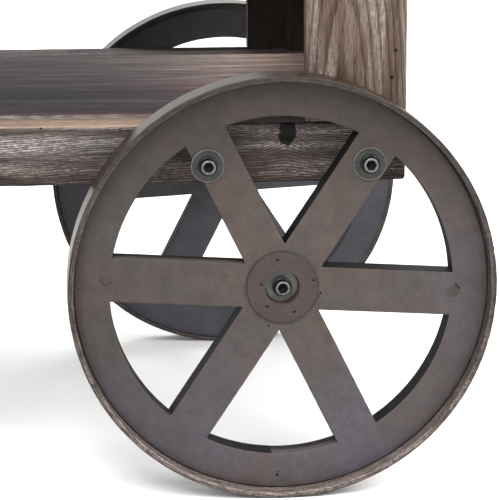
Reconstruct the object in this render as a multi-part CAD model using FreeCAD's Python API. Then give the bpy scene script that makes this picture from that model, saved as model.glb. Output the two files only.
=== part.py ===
import FreeCAD, Part
import math
import os

# Push vending cart: a boarded timber cart on two big spoked wheels and two legs.
# Millimetres. Origin on the floor under the middle of the cart, +Z up, +X towards the wheel
# end, -X towards the push handle, -Y is the front. "out" is a distance from the middle plane.

# --- driving dimensions: lower frame ---
FRAME_LENGTH = 980.0
FRAME_DEPTH = 720.0
RAIL_HEIGHT = 72.0
RAIL_WIDTH = 88.0
DECK_TOP = 445.0
DECK_BOARD_THICK = 25.0
DECK_BOARD_COUNT = 4
BEARER_WIDTH = 60.0
EASED_EDGE = 2.0
SAME_LENGTH = 0.01
OVERCUT = 1.0

# --- driving dimensions: corner posts and end panels ---
BOARD_THICK = 20.0
POST_WIDTH = 121.0
POST_TOP = 1780.0
BATTEN = 45.0
END_BOARDS_PER_SIDE = 2

# --- driving dimensions: counter and roof ---
COUNTER_RAIL_WIDTH = 40.0
COUNTER_RAIL_HEIGHT = 70.0
COUNTER_BOTTOM = 790.0
COUNTER_BOARD_THICK = 25.0
COUNTER_BOARD_COUNT = 4
ROOF_BOARD_THICK = 20.0
ROOF_BOARD_COUNT = 4
ROOF_HALF_LENGTH = 540.0
ROOF_HALF_DEPTH = 405.0

# --- driving dimensions: legs ---
LEG_THICK = 45.0
LEG_WIDTH = 70.0
LEG_BOLT_RISE = 24.0
LEG_BOLT_OFFSET = 17.0
GLIDE_HEIGHT = 8.0
GLIDE_RADIUS = 22.0

# --- driving dimensions: wheels (508 mm, six flat spokes) ---
WHEEL_RADIUS = 254.0
WHEEL_X = 338.0
BAND_THICK = 7.0
BAND_WIDTH = 50.0
WHEEL_GAP = 9.0
FACE_RECESS = 22.0
PLATE_THICK = 33.0
RIM_INNER_RADIUS = 204.0
SPOKE_WIDTH = 52.5
SPOKE_BARS = 3
SPOKE_END_IN_RIM = 5.0
TURN_FRONT = -3.5
TURN_BACK = 3.2
HUB_DISC_RADIUS = 43.0
HUB_DISC_THICK = 3.5
HUB_POCKET_RADIUS = 20.5
HUB_POCKET_DEPTH = 12.0

# --- driving dimensions: axle, bushes and hangers ---
AXLE_RADIUS = 15.0
JOURNAL_RADIUS = 12.5
RUNNING_CLEARANCE = 0.05
SIDE_CLEARANCE = 0.3
BUSH_RADIUS = 18.0
FLANGE_RADIUS = 24.0
FLANGE_ROOM = 5.0
AXLE_END_PROUD = 0.5
HANGER_THICK = 10.0
HANGER_WIDTH = 36.0
HANGER_EYE_RADIUS = 27.0
HANGER_LEAN = -0.492
PAD_THICK = 8.0
PAD_WIDTH = 44.0
PAD_LENGTH = 70.0
PAD_SCREW_OFFSET = 23.0

# --- driving dimensions: M12 cap screws, washers, coach screws and leg bolts ---
CAP_HEAD_RADIUS = 9.0
CAP_HEAD_HEIGHT = 12.0
CAP_SHANK_RADIUS = 6.0
CAP_SOCKET_FLATS = 10.0
CAP_SOCKET_DEPTH = 6.0
HUB_SCREW_REACH = 30.0
LOCK_SCREW_STOP = 2.0
WASHER_RADIUS = 19.5
WASHER_THICK = 3.0
HUB_WASHER_RADIUS = 18.5
HUB_COLLAR_RADIUS = 9.0
HUB_COLLAR_HEIGHT = 6.0
COACH_RADIUS = 5.0
COACH_LENGTH = 45.0
HEX_FLATS = 17.0
HEX_HEIGHT = 6.4
LEG_BOLT_LENGTH = 120.0
LOCK_SCREWS_FRONT = [(-88.0, 147.0), (103.0, 146.5)]
LOCK_SCREWS_BACK = [(-98.0, 150.0), (76.0, 150.0)]

# --- driving dimensions: push handle ---
HANDLE_Z = 930.0
HANDLE_RADIUS = 15.0
HANDLE_HALF_LENGTH = 350.0
HANDLE_EYE_RADIUS = 21.0
HANDLE_EYE_WIDTH = 20.0
BRACKET_PLATE = 6.0
BRACKET_WIDTH = 40.0
BRACKET_HEIGHT = 120.0
BRACKET_ARM_THICK = 8.0
BRACKET_ARM_HEIGHT = 30.0
BRACKET_SCREW_RISE = 45.0

# --- worked-out levels and stations ---
HALF_LENGTH = FRAME_LENGTH / 2
HALF_DEPTH = FRAME_DEPTH / 2
RAIL_BOTTOM = DECK_TOP - RAIL_HEIGHT
DECK_UNDERSIDE = DECK_TOP - DECK_BOARD_THICK
RAIL_INNER = HALF_DEPTH - RAIL_WIDTH
POST_INNER = HALF_DEPTH - BOARD_THICK
PANEL_INNER = HALF_LENGTH - BOARD_THICK
BATTEN_X = PANEL_INNER - BATTEN
BATTEN_OUT = POST_INNER - BATTEN
COUNTER_TOP_OF_RAIL = COUNTER_BOTTOM + COUNTER_RAIL_HEIGHT
BAND_INNER_FACE = HALF_DEPTH + WHEEL_GAP
BAND_OUTER_FACE = BAND_INNER_FACE + BAND_WIDTH
PLATE_FACE = BAND_OUTER_FACE - FACE_RECESS
PLATE_BACK = PLATE_FACE - PLATE_THICK
PLATE_RADIUS = WHEEL_RADIUS - BAND_THICK
DISC_FACE = PLATE_FACE + HUB_DISC_THICK
POCKET_FLOOR = PLATE_FACE - HUB_POCKET_DEPTH
AXLE_END = POCKET_FLOOR + AXLE_END_PROUD
HUB_SCREW_SEAT = AXLE_END + WASHER_THICK + HUB_COLLAR_HEIGHT
AXLE_SHOULDER = PLATE_BACK - FLANGE_ROOM
HANDLE_X = -(WHEEL_X + WHEEL_RADIUS) + HANDLE_EYE_RADIUS
BATTEN_MIDDLE = BATTEN_OUT + BATTEN / 2
HANGER_OUT = HALF_DEPTH - RAIL_WIDTH / 2
LEG_X = -(HALF_LENGTH - BEARER_WIDTH) + LEG_WIDTH / 2
LEG_BOLT_Z = RAIL_BOTTOM + LEG_BOLT_RISE

FRONT = -1
BACK = 1
SIDES = {"front": FRONT, "back": BACK}
ENDS = {"left": -1, "right": 1}
UP = FreeCAD.Vector(0, 0, 1)
ALONG_X = FreeCAD.Vector(1, 0, 0)
ALONG_Y = FreeCAD.Vector(0, 1, 0)


def save(name, shape):
    """Write one sub-part."""
    shape.exportStep(os.path.join("parts", name + ".step"))


def block(xs, ys, zs):
    """Plain box between two X, two Y and two Z values given in any order."""
    low = FreeCAD.Vector(min(xs), min(ys), min(zs))
    return Part.makeBox(max(xs) - low.x, max(ys) - low.y, max(zs) - low.z, low)


def ease_longest_edges(body):
    """Small chamfer on the longest edges of a board."""
    longest = max(edge.Length for edge in body.Edges)
    long_edges = [edge for edge in body.Edges if abs(edge.Length - longest) < SAME_LENGTH]
    return body.makeChamfer(EASED_EDGE, long_edges)


def timber(xs, ys, zs):
    """Sawn timber: a box with its four longest edges eased."""
    return ease_longest_edges(block(xs, ys, zs))


def rod(start, direction, radius, length):
    """Round bar from a start point along a direction."""
    return Part.makeCylinder(radius, length, start, direction)


def cross_rod(x, z, side, out_from, out_to, radius):
    """Round bar along Y, between two distances out from the middle plane."""
    low = min(side * out_from, side * out_to)
    return rod(FreeCAD.Vector(x, low, z), ALONG_Y, radius, abs(out_to - out_from))


def hexagon(centre, direction, flats, height):
    """Six-sided prism that stands on a point, along X, Y or Z."""
    corner = flats / math.sqrt(3)
    across = UP if abs(direction.z) < 0.5 else ALONG_X
    points = []
    for step in range(7):
        spin = FreeCAD.Rotation(direction, 60.0 * step)
        points.append(centre + spin.multVec(across * corner))
    return Part.Face(Part.makePolygon(points)).extrude(direction * height)


def cap_screw(x, z, side, seat, reach):
    """M12 socket-head cap screw: head outside the seat, shank inwards by its reach."""
    outward = FreeCAD.Vector(0, side, 0)
    shank = cross_rod(x, z, side, seat - reach, seat, CAP_SHANK_RADIUS)
    head = cross_rod(x, z, side, seat, seat + CAP_HEAD_HEIGHT, CAP_HEAD_RADIUS)
    floor = FreeCAD.Vector(x, side * (seat + CAP_HEAD_HEIGHT - CAP_SOCKET_DEPTH), z)
    socket = hexagon(floor, outward, CAP_SOCKET_FLATS, CAP_SOCKET_DEPTH + OVERCUT)
    return shank.fuse(head).removeSplitter().cut(socket)


def washer(x, z, side, seat):
    """Flat round washer that lies on a face at the seat."""
    disc = cross_rod(x, z, side, seat, seat + WASHER_THICK, WASHER_RADIUS)
    return disc.cut(cross_rod(x, z, side, seat - OVERCUT, seat + WASHER_THICK + OVERCUT,
                              CAP_SHANK_RADIUS))


def hex_screw(seat_point, direction, length):
    """Hex-headed coach screw or bolt: head behind the seat point, shank along direction."""
    head = hexagon(seat_point - direction * HEX_HEIGHT, direction, HEX_FLATS, HEX_HEIGHT)
    return head.fuse(rod(seat_point, direction, COACH_RADIUS, length)).removeSplitter()


def hanger_pad_x():
    """X of the hanger's pad, where its leaning bar meets the rail."""
    return WHEEL_X + HANGER_LEAN * (RAIL_BOTTOM - WHEEL_RADIUS)


def hanger_screw_seats(side):
    """Seats of the two coach screws under one hanger's pad."""
    seats = []
    for offset in (-PAD_SCREW_OFFSET, PAD_SCREW_OFFSET):
        y = side * (HANGER_OUT + offset)
        seats.append(FreeCAD.Vector(hanger_pad_x(), y, RAIL_BOTTOM - PAD_THICK))
    return seats


def bracket_screw_seats(side):
    """Seats of the two coach screws in one handle bracket's plate."""
    seats = []
    for rise in (-BRACKET_SCREW_RISE, BRACKET_SCREW_RISE):
        x = -(PANEL_INNER + BRACKET_PLATE)
        seats.append(FreeCAD.Vector(x, side * BATTEN_MIDDLE, HANDLE_Z + rise))
    return seats


def leg_bolt_seats(side):
    """Seats of the two bolts on the inner face of one leg."""
    y = side * (RAIL_INNER - LEG_THICK)
    return [FreeCAD.Vector(LEG_X + offset, y, LEG_BOLT_Z)
            for offset in (-LEG_BOLT_OFFSET, LEG_BOLT_OFFSET)]


def make_rails():
    """Two heavy side rails that carry everything, drilled for hangers and legs."""
    for name, side in SIDES.items():
        rail = timber((-HALF_LENGTH, HALF_LENGTH), (side * RAIL_INNER, side * HALF_DEPTH),
                      (RAIL_BOTTOM, DECK_TOP))
        for seat in hanger_screw_seats(side):
            rail = rail.cut(rod(seat, UP, COACH_RADIUS, COACH_LENGTH))
        for seat in leg_bolt_seats(side):
            rail = rail.cut(rod(seat, ALONG_Y * side, COACH_RADIUS, LEG_BOLT_LENGTH))
        save("rail_" + name, rail)


def make_bearers():
    """Three cross bearers between the rails, under the deck boards."""
    inset = HALF_LENGTH - BEARER_WIDTH / 2
    for name, x in (("left", -inset), ("middle", 0.0), ("right", inset)):
        half = BEARER_WIDTH / 2
        save("bearer_" + name, block((x - half, x + half), (-RAIL_INNER, RAIL_INNER),
                                     (RAIL_BOTTOM, DECK_UNDERSIDE)))


def make_deck():
    """Deck boards between the rails and the end boards, flush with the rails' tops."""
    width = 2 * RAIL_INNER / DECK_BOARD_COUNT
    for index in range(DECK_BOARD_COUNT):
        low = -RAIL_INNER + index * width
        save("deck_board_%d" % (index + 1),
             block((-PANEL_INNER, PANEL_INNER), (low, low + width), (DECK_UNDERSIDE, DECK_TOP)))


def make_posts():
    """Corner boards on the rails, each backed by a square batten inside the corner."""
    for side_name, side in SIDES.items():
        for end_name, end in ENDS.items():
            corner = side_name + "_" + end_name
            post = timber((end * (HALF_LENGTH - POST_WIDTH), end * HALF_LENGTH),
                          (side * POST_INNER, side * HALF_DEPTH), (DECK_TOP, POST_TOP))
            save("post_" + corner, post)
            batten = block((end * BATTEN_X, end * PANEL_INNER),
                           (side * BATTEN_OUT, side * POST_INNER), (DECK_TOP, POST_TOP))
            if end_name == "left":
                for seat in bracket_screw_seats(side):
                    batten = batten.cut(rod(seat, ALONG_X, COACH_RADIUS, COACH_LENGTH))
            save("batten_" + corner, batten)


def make_end_panels():
    """Boards that close both ends up to the counter; the lower one reaches down past the deck."""
    height = (COUNTER_BOTTOM - DECK_TOP) / END_BOARDS_PER_SIDE
    for end_name, end in ENDS.items():
        for index, level in enumerate(("lower", "upper")):
            low = DECK_TOP + index * height
            xs = (end * PANEL_INNER, end * HALF_LENGTH)
            board = block(xs, (-POST_INNER, POST_INNER), (low, low + height))
            if level == "lower":
                tongue = block(xs, (-RAIL_INNER, RAIL_INNER), (DECK_UNDERSIDE, DECK_TOP))
                board = board.fuse(tongue).removeSplitter()
            save("end_board_%s_%s" % (end_name, level), ease_longest_edges(board))


def make_counter():
    """Two rails between the battens and the counter boards across them."""
    for name, side in SIDES.items():
        save("counter_rail_" + name,
             timber((-BATTEN_X, BATTEN_X),
                    (side * (POST_INNER - COUNTER_RAIL_WIDTH), side * POST_INNER),
                    (COUNTER_BOTTOM, COUNTER_TOP_OF_RAIL)))
    width = 2 * BATTEN_X / COUNTER_BOARD_COUNT
    for index in range(COUNTER_BOARD_COUNT):
        low = -BATTEN_X + index * width
        save("counter_board_%d" % (index + 1),
             timber((low, low + width), (-POST_INNER, POST_INNER),
                    (COUNTER_TOP_OF_RAIL, COUNTER_TOP_OF_RAIL + COUNTER_BOARD_THICK)))


def make_roof():
    """Four roof rails between the battens and the roof boards on top."""
    low = POST_TOP - COUNTER_RAIL_HEIGHT
    for name, side in SIDES.items():
        save("roof_rail_" + name,
             timber((-BATTEN_X, BATTEN_X),
                    (side * (POST_INNER - COUNTER_RAIL_WIDTH), side * POST_INNER),
                    (low, POST_TOP)))
    for name, end in ENDS.items():
        save("roof_rail_" + name,
             timber((end * (PANEL_INNER - COUNTER_RAIL_WIDTH), end * PANEL_INNER),
                    (-BATTEN_OUT, BATTEN_OUT), (low, POST_TOP)))
    width = 2 * ROOF_HALF_DEPTH / ROOF_BOARD_COUNT
    for index in range(ROOF_BOARD_COUNT):
        start = -ROOF_HALF_DEPTH + index * width
        save("roof_board_%d" % (index + 1),
             timber((-ROOF_HALF_LENGTH, ROOF_HALF_LENGTH), (start, start + width),
                    (POST_TOP, POST_TOP + ROOF_BOARD_THICK)))


def make_legs():
    """Two legs bolted inside the rails at the handle end, with round glides under them."""
    glides = []
    for name, side in SIDES.items():
        inner = side * (RAIL_INNER - LEG_THICK)
        leg = block((LEG_X - LEG_WIDTH / 2, LEG_X + LEG_WIDTH / 2), (inner, side * RAIL_INNER),
                    (GLIDE_HEIGHT, DECK_UNDERSIDE))
        for seat in leg_bolt_seats(side):
            leg = leg.cut(rod(seat, ALONG_Y * side, COACH_RADIUS, LEG_BOLT_LENGTH))
        save("leg_" + name, leg)
        middle = FreeCAD.Vector(LEG_X, side * (RAIL_INNER - LEG_THICK / 2), 0)
        glides.append(rod(middle, UP, GLIDE_RADIUS, GLIDE_HEIGHT))
    save("leg_glides", Part.makeCompound(glides))


def make_axle():
    """Dead axle with turned-down journals, tapped at both ends for the hub screws."""
    axle = cross_rod(WHEEL_X, WHEEL_RADIUS, BACK, -AXLE_SHOULDER, AXLE_SHOULDER, AXLE_RADIUS)
    for side in SIDES.values():
        axle = axle.fuse(cross_rod(WHEEL_X, WHEEL_RADIUS, side, AXLE_SHOULDER, AXLE_END,
                                   JOURNAL_RADIUS))
    axle = axle.removeSplitter()
    for side in SIDES.values():
        tapped = HUB_SCREW_SEAT - HUB_SCREW_REACH
        axle = axle.cut(cross_rod(WHEEL_X, WHEEL_RADIUS, side, tapped, AXLE_END + OVERCUT,
                                  CAP_SHANK_RADIUS))
    save("axle", axle)


def make_hangers():
    """Leaning flat-bar hangers with an eye round the axle and a pad under the rail."""
    pad_low = RAIL_BOTTOM - PAD_THICK
    lean_length = math.hypot(1, HANGER_LEAN)
    half_across = HANGER_WIDTH / 2 * lean_length
    for name, side in SIDES.items():
        low = side * HANGER_OUT - HANGER_THICK / 2
        foot_x = WHEEL_X
        head_x = WHEEL_X + HANGER_LEAN * (pad_low - WHEEL_RADIUS)
        corners = [(foot_x - half_across, WHEEL_RADIUS), (foot_x + half_across, WHEEL_RADIUS),
                   (head_x + half_across, pad_low), (head_x - half_across, pad_low),
                   (foot_x - half_across, WHEEL_RADIUS)]
        outline = Part.makePolygon([FreeCAD.Vector(x, low, z) for x, z in corners])
        bar = Part.Face(outline).extrude(ALONG_Y * HANGER_THICK)
        eye = rod(FreeCAD.Vector(WHEEL_X, low, WHEEL_RADIUS), ALONG_Y, HANGER_EYE_RADIUS,
                  HANGER_THICK)
        pad_x = hanger_pad_x()
        pad = block((pad_x - PAD_WIDTH / 2, pad_x + PAD_WIDTH / 2),
                    (side * HANGER_OUT - PAD_LENGTH / 2, side * HANGER_OUT + PAD_LENGTH / 2),
                    (pad_low, RAIL_BOTTOM))
        hanger = eye.fuse(bar).fuse(pad).removeSplitter()
        hanger = hanger.cut(rod(FreeCAD.Vector(WHEEL_X, low - OVERCUT, WHEEL_RADIUS), ALONG_Y,
                                AXLE_RADIUS, HANGER_THICK + 2 * OVERCUT))
        for seat in hanger_screw_seats(side):
            hanger = hanger.cut(rod(seat, UP, COACH_RADIUS, PAD_THICK))
        save("axle_hanger_" + name, hanger)


def make_wheel(name, side, turn, lock_screws):
    """One wheel: spoked plate, tyre band, hub disc, flanged bush, lock screws, washers."""
    centre = FreeCAD.Vector(WHEEL_X, 0, WHEEL_RADIUS)

    def ring(out_from, out_to, outer, inner):
        solid = cross_rod(WHEEL_X, WHEEL_RADIUS, side, out_from, out_to, outer)
        low = min(out_from, out_to) - OVERCUT
        high = max(out_from, out_to) + OVERCUT
        return solid.cut(cross_rod(WHEEL_X, WHEEL_RADIUS, side, low, high, inner))

    plate = ring(PLATE_BACK, PLATE_FACE, PLATE_RADIUS, RIM_INNER_RADIUS)
    reach = RIM_INNER_RADIUS + SPOKE_END_IN_RIM
    for index in range(SPOKE_BARS):
        bar = block((WHEEL_X - reach, WHEEL_X + reach), (side * PLATE_BACK, side * PLATE_FACE),
                    (WHEEL_RADIUS - SPOKE_WIDTH / 2, WHEEL_RADIUS + SPOKE_WIDTH / 2))
        bar.rotate(centre, ALONG_Y, -(turn + 60.0 * index))
        plate = plate.fuse(bar)
    plate = plate.removeSplitter()
    plate = plate.cut(cross_rod(WHEEL_X, WHEEL_RADIUS, side, PLATE_BACK - OVERCUT,
                                PLATE_FACE + OVERCUT, BUSH_RADIUS))
    plate = plate.cut(cross_rod(WHEEL_X, WHEEL_RADIUS, side, POCKET_FLOOR, PLATE_FACE + OVERCUT,
                                HUB_POCKET_RADIUS))
    screws = []
    washers = []
    for across, rise in lock_screws:
        x = WHEEL_X + across
        z = WHEEL_RADIUS + rise
        plate = plate.cut(cross_rod(x, z, side, PLATE_BACK - OVERCUT, PLATE_FACE + OVERCUT,
                                    CAP_SHANK_RADIUS))
        seat = PLATE_FACE + WASHER_THICK
        screws.append(cap_screw(x, z, side, seat, seat - PLATE_BACK - LOCK_SCREW_STOP))
        washers.append(washer(x, z, side, PLATE_FACE))
    save("wheel_plate_" + name, plate)
    save("spoke_screws_" + name, Part.makeCompound(screws))
    save("spoke_washers_" + name, Part.makeCompound(washers))
    save("tyre_band_" + name,
         ring(BAND_INNER_FACE, BAND_OUTER_FACE, WHEEL_RADIUS, PLATE_RADIUS))
    save("hub_disc_" + name,
         ring(PLATE_FACE, DISC_FACE, HUB_DISC_RADIUS, HUB_POCKET_RADIUS))
    bore = JOURNAL_RADIUS + RUNNING_CLEARANCE
    sleeve = ring(PLATE_BACK, POCKET_FLOOR, BUSH_RADIUS, bore)
    flange = ring(AXLE_SHOULDER + SIDE_CLEARANCE, PLATE_BACK, FLANGE_RADIUS, bore)
    save("hub_bush_" + name, sleeve.fuse(flange).removeSplitter())


def make_hub_fasteners():
    """Cap screw on a collared washer on each axle end, down in the hub's pocket."""
    screws = []
    washers = []
    for side in SIDES.values():
        flat = cross_rod(WHEEL_X, WHEEL_RADIUS, side, AXLE_END, AXLE_END + WASHER_THICK,
                         HUB_WASHER_RADIUS)
        collar = cross_rod(WHEEL_X, WHEEL_RADIUS, side, AXLE_END, HUB_SCREW_SEAT,
                           HUB_COLLAR_RADIUS)
        hole = cross_rod(WHEEL_X, WHEEL_RADIUS, side, AXLE_END - OVERCUT,
                         HUB_SCREW_SEAT + OVERCUT, CAP_SHANK_RADIUS)
        washers.append(flat.fuse(collar).removeSplitter().cut(hole))
        screws.append(cap_screw(WHEEL_X, WHEEL_RADIUS, side, HUB_SCREW_SEAT, HUB_SCREW_REACH))
    save("hub_screws", Part.makeCompound(screws))
    save("hub_washers", Part.makeCompound(washers))


def make_handle():
    """Round wooden push bar in the eyes of two iron brackets on the left battens."""
    bar_start = FreeCAD.Vector(HANDLE_X, -HANDLE_HALF_LENGTH, HANDLE_Z)
    save("handle_bar", rod(bar_start, ALONG_Y, HANDLE_RADIUS, 2 * HANDLE_HALF_LENGTH))
    for name, side in SIDES.items():
        middle = side * BATTEN_MIDDLE
        half_width = BRACKET_WIDTH / 2
        plate = block((-PANEL_INNER - BRACKET_PLATE, -PANEL_INNER),
                      (middle - half_width, middle + half_width),
                      (HANDLE_Z - BRACKET_HEIGHT / 2, HANDLE_Z + BRACKET_HEIGHT / 2))
        half_arm = BRACKET_ARM_THICK / 2
        arm = block((HANDLE_X, -PANEL_INNER - BRACKET_PLATE),
                    (middle - half_arm, middle + half_arm),
                    (HANDLE_Z - BRACKET_ARM_HEIGHT / 2, HANDLE_Z + BRACKET_ARM_HEIGHT / 2))
        eye_start = FreeCAD.Vector(HANDLE_X, middle - HANDLE_EYE_WIDTH / 2, HANDLE_Z)
        eye = rod(eye_start, ALONG_Y, HANDLE_EYE_RADIUS, HANDLE_EYE_WIDTH)
        bracket = plate.fuse(arm).fuse(eye).removeSplitter()
        bracket = bracket.cut(rod(eye_start - ALONG_Y * OVERCUT, ALONG_Y, HANDLE_RADIUS,
                                  HANDLE_EYE_WIDTH + 2 * OVERCUT))
        for seat in bracket_screw_seats(side):
            bracket = bracket.cut(rod(seat, ALONG_X, COACH_RADIUS, BRACKET_PLATE))
        save("handle_bracket_" + name, bracket)


def make_frame_fasteners():
    """Coach screws of the hangers and brackets, and the bolts of the legs."""
    coach = []
    bolts = []
    for side in SIDES.values():
        for seat in hanger_screw_seats(side):
            coach.append(hex_screw(seat, UP, COACH_LENGTH))
        for seat in bracket_screw_seats(side):
            coach.append(hex_screw(seat, ALONG_X, COACH_LENGTH))
        for seat in leg_bolt_seats(side):
            bolts.append(hex_screw(seat, ALONG_Y * side, LEG_BOLT_LENGTH))
    save("coach_screws", Part.makeCompound(coach))
    save("leg_bolts", Part.makeCompound(bolts))


os.makedirs("parts", exist_ok=True)
make_rails()
make_bearers()
make_deck()
make_posts()
make_end_panels()
make_counter()
make_roof()
make_legs()
make_axle()
make_hangers()
make_wheel("front", FRONT, TURN_FRONT, LOCK_SCREWS_FRONT)
make_wheel("back", BACK, TURN_BACK, LOCK_SCREWS_BACK)
make_hub_fasteners()
make_handle()
make_frame_fasteners()
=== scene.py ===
import math

import bmesh
import bpy
import numpy as np
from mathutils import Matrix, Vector


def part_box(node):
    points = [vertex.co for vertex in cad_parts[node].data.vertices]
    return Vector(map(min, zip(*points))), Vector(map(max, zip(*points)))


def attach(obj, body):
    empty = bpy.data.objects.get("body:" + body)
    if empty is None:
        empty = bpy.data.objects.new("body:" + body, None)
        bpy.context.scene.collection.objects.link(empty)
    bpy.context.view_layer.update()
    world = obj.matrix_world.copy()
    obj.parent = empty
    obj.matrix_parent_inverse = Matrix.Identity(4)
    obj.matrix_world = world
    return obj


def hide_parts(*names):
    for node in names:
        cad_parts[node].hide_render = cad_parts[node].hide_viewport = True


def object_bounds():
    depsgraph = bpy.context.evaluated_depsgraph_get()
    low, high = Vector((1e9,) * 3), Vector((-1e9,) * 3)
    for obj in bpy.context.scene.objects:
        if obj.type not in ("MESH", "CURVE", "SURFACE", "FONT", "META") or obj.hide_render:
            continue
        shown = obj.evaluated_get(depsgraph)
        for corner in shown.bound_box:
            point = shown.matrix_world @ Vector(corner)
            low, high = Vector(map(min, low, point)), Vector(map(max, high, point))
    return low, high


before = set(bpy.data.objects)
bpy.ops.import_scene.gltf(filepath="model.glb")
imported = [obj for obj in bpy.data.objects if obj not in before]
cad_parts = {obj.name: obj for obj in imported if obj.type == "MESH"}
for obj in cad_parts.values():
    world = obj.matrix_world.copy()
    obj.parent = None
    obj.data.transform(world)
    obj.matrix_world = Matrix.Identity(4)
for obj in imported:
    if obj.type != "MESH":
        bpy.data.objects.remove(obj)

# Looks of a push vending cart round its CAD frame. Metres, in the frame's own axes: +Z up,
# +X towards the wheel end, -Y the front. MM turns a length in millimetres into metres.

MM = 0.001
cad_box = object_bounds()
link = bpy.context.scene.collection.objects.link

# --- camera: a long lens, above and a little left of the front wheel, looking down at it ---
CAMERA_FROM_WHEEL = Vector((-0.3238, -2.8453, 0.6492))
CAMERA_YAW = math.radians(5.676)
CAMERA_PITCH = math.radians(11.834)
CAMERA_LENS = 180.0
CAMERA_CLIP = (0.05, 300)

# --- noise ---
HASH_A, HASH_B, HASH_C, HASH_D = 374761393, 668265263, 2246822519, 1274126177
SEED_STEP, SEED_START = 7919, 17
WORD = np.uint64(0xFFFFFFFF)


def noise(points, seed):
    """Smooth value noise between 0 and 1 at points given in cells."""
    cell = np.floor(points)
    part = points - cell
    part = part * part * (3 - 2 * part)
    cell = cell.astype(np.int64)
    total = np.zeros(len(points))
    for corner in range(8):
        bits = np.array([corner & 1, corner >> 1 & 1, corner >> 2 & 1])
        at = (cell + bits).astype(np.uint64)
        mixed = (at[:, 0] * HASH_A + at[:, 1] * HASH_B + at[:, 2] * HASH_C
                 + np.uint64(seed * SEED_STEP + SEED_START)) & WORD
        mixed = ((mixed ^ (mixed >> np.uint64(13))) * np.uint64(HASH_D)) & WORD
        mixed = mixed ^ (mixed >> np.uint64(16))
        weight = np.prod(np.where(bits, part, 1 - part), axis=1)
        total += weight * (mixed.astype(float) / float(WORD))
    return total


def fractal(points, scale, seed, octaves=3):
    """Layered noise from about 0 to 1 at points, with a scale in cells a metre."""
    points = points * scale
    total = np.zeros(len(points))
    share, reach = 0.5, 0.0
    for octave in range(octaves):
        total += share * noise(points * 2 ** octave, seed + octave)
        reach += share
        share *= 0.5
    return total / reach


def smooth(value, low, high):
    """Smooth step from 0 at low to 1 at high."""
    part = np.clip((value - low) / (high - low), 0, 1)
    return part * part * (3 - 2 * part)


# --- mesh building ---

def new_piece(name, vertices, quads, materials, body, slot, stands_for=(), parts=None,
              attributes=None):
    """A mesh piece of quads that rides on a body and takes the place of CAD nodes."""
    mesh = bpy.data.meshes.new(name)
    mesh.vertices.add(len(vertices))
    mesh.vertices.foreach_set("co", np.asarray(vertices, np.float32).ravel())
    mesh.loops.add(quads.size)
    mesh.loops.foreach_set("vertex_index", quads.ravel().astype(np.int32))
    mesh.polygons.add(len(quads))
    mesh.polygons.foreach_set("loop_start", np.arange(0, quads.size, 4, dtype=np.int32))
    mesh.update(calc_edges=True)
    for key, values in (attributes or {}).items():
        kind, field = ("FLOAT", "value") if values.ndim == 1 else ("FLOAT_VECTOR", "vector")
        layer = mesh.attributes.new(key, kind, "POINT")
        layer.data.foreach_set(field, values.astype(np.float32).ravel())
    for material in materials:
        mesh.materials.append(material)
    if parts is not None:
        mesh.polygons.foreach_set("material_index", parts.astype(np.int32))
    mesh.polygons.foreach_set("use_smooth", np.full(len(quads), True))
    mesh.validate()
    solid = bmesh.new()
    solid.from_mesh(mesh)
    bmesh.ops.recalc_face_normals(solid, faces=solid.faces)
    solid.to_mesh(mesh)
    solid.free()
    piece = bpy.data.objects.new(name, mesh)
    link(piece)
    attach(piece, body)
    if stands_for:
        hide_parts(*stands_for)


def joined(name, shapes, materials, body, slot, *nodes):
    """One piece from several (points, quads, parts) shapes."""
    points, quads, parts = zip(*shapes)
    starts = np.cumsum([0] + [len(block) for block in points])
    quads = [block + start for block, start in zip(quads, starts)]
    new_piece(name, np.concatenate(points), np.concatenate(quads), materials, body, slot,
              nodes, np.concatenate(parts))


def grid_quads(rows, columns, wrap=False):
    """Quad indices of a grid of rows by columns of points, joined round if wrap."""
    grid = np.arange(rows * columns).reshape(rows, columns)
    if wrap:
        grid = np.hstack([grid, grid[:, :1]])
    corners = [grid[:-1, :-1], grid[:-1, 1:], grid[1:, 1:], grid[1:, :-1]]
    return np.stack(corners, axis=-1).reshape(-1, 4)


def weld(patches):
    """One set of points and quads from patches of (points[rows, columns, 3], part)."""
    points, quads, parts, start = [], [], [], 0
    for patch, part in patches:
        rows, columns = patch.shape[:2]
        patch_quads = grid_quads(rows, columns) + start
        points.append(patch.reshape(-1, 3))
        quads.append(patch_quads)
        parts.append(np.full(len(patch_quads), part))
        start += rows * columns
    points = np.concatenate(points)
    first, inverse = np.unique(np.round(points, 6), axis=0, return_index=True,
                               return_inverse=True)[1:]
    return points[first], inverse.reshape(-1)[np.concatenate(quads)], np.concatenate(parts)


def point_normals(vertices, quads):
    """Smooth vertex normals of a closed quad mesh, pointing out of it."""
    a, b, c, d = (vertices[quads[:, i]] for i in range(4))
    face = np.cross(c - a, d - b)
    total = np.zeros_like(vertices)
    if np.sum((a + b + c + d) * face) < 0:
        face = -face
    for i in range(4):
        np.add.at(total, quads[:, i], face)
    return total / np.maximum(np.linalg.norm(total, axis=1, keepdims=True), 1e-12)


# --- timber ---

GRAIN_ORDER = {"X": (0, 1, 2), "Y": (1, 2, 0), "Z": (2, 0, 1)}
EDGE_SHARES = np.array([0, 0.16, 0.4, 0.7])
FIRST_RING = 40
KNOT_PUSH = 14 * MM


def steps(low, high, pitch, edge):
    """Sample places from low to high, closer together over the rounded edges."""
    rounding = low + edge * EDGE_SHARES
    middle = np.linspace(low + edge, high - edge, max(2, round((high - low - 2 * edge) / pitch)))
    return np.concatenate([rounding, middle, low + high - rounding[::-1]])


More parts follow.
